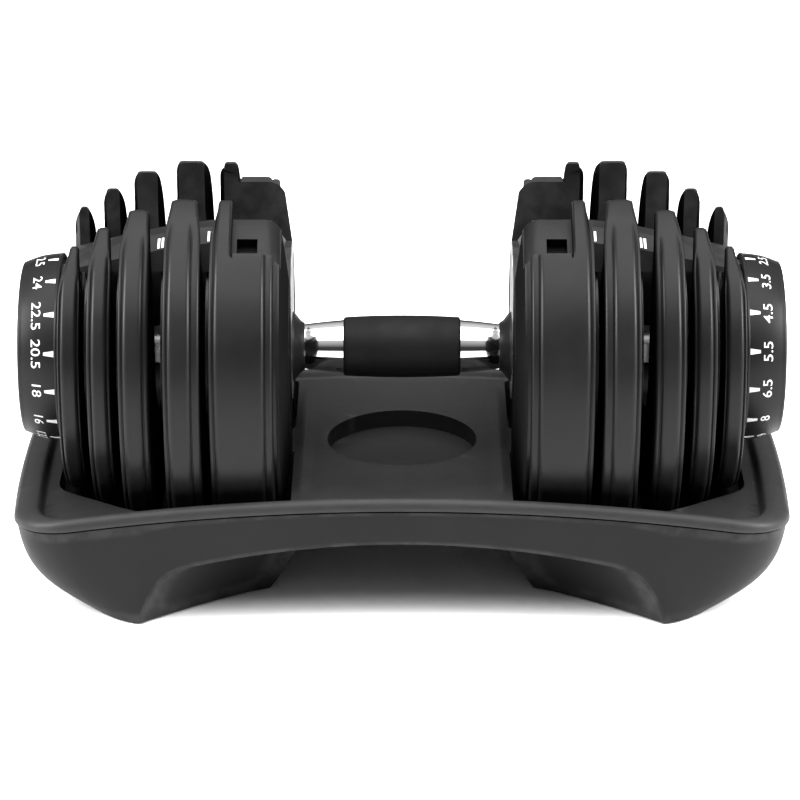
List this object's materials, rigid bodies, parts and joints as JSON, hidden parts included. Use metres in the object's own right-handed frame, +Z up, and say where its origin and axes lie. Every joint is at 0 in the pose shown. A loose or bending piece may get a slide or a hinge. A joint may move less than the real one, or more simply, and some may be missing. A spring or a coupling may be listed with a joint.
{
  "type": "adjustable dumbbell",
  "caption": "Dial-type adjustable dumbbell with a chromed bar, rubber grip and U-slotted weight plates, resting in a moulded storage tray with arched sides.",
  "frame": {"origin": "on the floor under the middle of the tray", "axes": "+X along the bar to the right, +Y to the back, +Z up"},
  "size_m": [0.439, 0.213, 0.2273],
  "materials": {
    "tray_top_plastic": "fine grained mould texture",
    "tray_shell_plastic": "smooth satin",
    "foot_rubber": "matte",
    "screw_steel": "zinc plated",
    "chrome": "polished",
    "grip_rubber": "matte, fine grain",
    "spring_steel": "bright",
    "frame_plastic": "satin",
    "axle_steel": "turned",
    "dial_plastic": "satin with printed white numbers",
    "disc_plastic": "satin",
    "cover_plastic": "satin moulding",
    "core_steel": "oxidised"
  },
  "bodies": {
    "tray": {"tray_top": "tray_top_plastic", "tray_shell": "tray_shell_plastic", "rubber_feet": "foot_rubber", "tray_screws": "screw_steel"},
    "handle": {"handle_tube": "chrome", "grip_sleeve": "grip_rubber", "handle_screws": "screw_steel", "detent_springs": "spring_steel", "collar_left": "frame_plastic", "collar_right": "frame_plastic", "end_plate_left": "frame_plastic", "end_plate_right": "frame_plastic", "bridge_left": "frame_plastic", "bridge_right": "frame_plastic", "axle_left": "axle_steel", "axle_right": "axle_steel", "axle_nut_left": "screw_steel", "axle_nut_right": "screw_steel", "lock_spring_left": "spring_steel", "lock_spring_right": "spring_steel"},
    "dial_left": {"dial_left": "dial_plastic", "dial_cap_left": "dial_plastic", "drive_sleeve_left": "axle_steel", "lock_wheel_left": "axle_steel", "selector_disc_left_1": "disc_plastic", "selector_disc_left_2": "disc_plastic", "selector_disc_left_3": "disc_plastic", "selector_disc_left_4": "disc_plastic", "selector_disc_left_5": "disc_plastic"},
    "lock_left": {"lock_slider_left": "axle_steel"},
    "dial_right": {"dial_right": "dial_plastic", "dial_cap_right": "dial_plastic", "drive_sleeve_right": "axle_steel", "lock_wheel_right": "axle_steel", "selector_disc_right_1": "disc_plastic", "selector_disc_right_2": "disc_plastic", "selector_disc_right_3": "disc_plastic", "selector_disc_right_4": "disc_plastic", "selector_disc_right_5": "disc_plastic"},
    "lock_right": {"lock_slider_right": "axle_steel"},
    "plate_left_1": {"plate_cover_left_1": "cover_plastic", "plate_core_left_1": "core_steel"},
    "plate_left_2": {"plate_cover_left_2": "cover_plastic", "plate_core_left_2": "core_steel"},
    "plate_left_3": {"plate_cover_left_3": "cover_plastic", "plate_core_left_3": "core_steel"},
    "plate_left_4": {"plate_cover_left_4": "cover_plastic", "plate_core_left_4": "core_steel"},
    "plate_left_5": {"plate_cover_left_5": "cover_plastic", "plate_core_left_5": "core_steel"},
    "plate_right_1": {"plate_cover_right_1": "cover_plastic", "plate_core_right_1": "core_steel"},
    "plate_right_2": {"plate_cover_right_2": "cover_plastic", "plate_core_right_2": "core_steel"},
    "plate_right_3": {"plate_cover_right_3": "cover_plastic", "plate_core_right_3": "core_steel"},
    "plate_right_4": {"plate_cover_right_4": "cover_plastic", "plate_core_right_4": "core_steel"},
    "plate_right_5": {"plate_cover_right_5": "cover_plastic", "plate_core_right_5": "core_steel"}
  },
  "joints": [
    {"name": "plates_lift", "type": "slide", "parent": "tray", "child": "plate_right_5", "axis": [0, 0, 1], "range_m": [0, 0.2]},
    {"name": "plate_left_1_lift", "type": "slide", "parent": "tray", "child": "plate_left_1", "axis": [0, 0, 1], "range_m": [0, 0.2]},
    {"name": "plate_left_2_lift", "type": "slide", "parent": "tray", "child": "plate_left_2", "axis": [0, 0, 1], "range_m": [0, 0.2]},
    {"name": "plate_left_3_lift", "type": "slide", "parent": "tray", "child": "plate_left_3", "axis": [0, 0, 1], "range_m": [0, 0.2]},
    {"name": "plate_left_4_lift", "type": "slide", "parent": "tray", "child": "plate_left_4", "axis": [0, 0, 1], "range_m": [0, 0.2]},
    {"name": "plate_left_5_lift", "type": "slide", "parent": "tray", "child": "plate_left_5", "axis": [0, 0, 1], "range_m": [0, 0.2]},
    {"name": "plate_right_1_lift", "type": "slide", "parent": "tray", "child": "plate_right_1", "axis": [0, 0, 1], "range_m": [0, 0.2]},
    {"name": "plate_right_2_lift", "type": "slide", "parent": "tray", "child": "plate_right_2", "axis": [0, 0, 1], "range_m": [0, 0.2]},
    {"name": "plate_right_3_lift", "type": "slide", "parent": "tray", "child": "plate_right_3", "axis": [0, 0, 1], "range_m": [0, 0.2]},
    {"name": "plate_right_4_lift", "type": "slide", "parent": "tray", "child": "plate_right_4", "axis": [0, 0, 1], "range_m": [0, 0.2]},
    {"name": "handle_lift", "type": "slide", "parent": "plate_right_5", "child": "handle", "axis": [0, 0, 1], "range_m": [0, 0.2]},
    {"name": "dial_left_turn", "type": "hinge", "parent": "handle", "child": "dial_left", "pos_m": [-0.2, 0, 0.127], "axis": [1, 0, 0], "continuous": true},
    {"name": "lock_left_drop", "type": "slide", "parent": "handle", "child": "lock_left", "axis": [0, 0, -1], "range_m": [0, 0.006], "deforming": ["lock_spring_left"]},
    {"name": "dial_right_turn", "type": "hinge", "parent": "handle", "child": "dial_right", "pos_m": [0.2, 0, 0.127], "axis": [1, 0, 0], "continuous": true},
    {"name": "lock_right_drop", "type": "slide", "parent": "handle", "child": "lock_right", "axis": [0, 0, -1], "range_m": [0, 0.006], "deforming": ["lock_spring_right"]}
  ],
  "couplings": [
    {"joint": "plate_left_1_lift", "follows": "plates_lift", "ratio": 1},
    {"joint": "plate_left_2_lift", "follows": "plates_lift", "ratio": 1},
    {"joint": "plate_left_3_lift", "follows": "plates_lift", "ratio": 1},
    {"joint": "plate_left_4_lift", "follows": "plates_lift", "ratio": 1},
    {"joint": "plate_left_5_lift", "follows": "plates_lift", "ratio": 1},
    {"joint": "plate_right_1_lift", "follows": "plates_lift", "ratio": 1},
    {"joint": "plate_right_2_lift", "follows": "plates_lift", "ratio": 1},
    {"joint": "plate_right_3_lift", "follows": "plates_lift", "ratio": 1},
    {"joint": "plate_right_4_lift", "follows": "plates_lift", "ratio": 1},
    {"joint": "lock_left_drop", "follows": "handle_lift", "ratio": 0.03},
    {"joint": "lock_right_drop", "follows": "handle_lift", "ratio": 0.03}
  ]
}
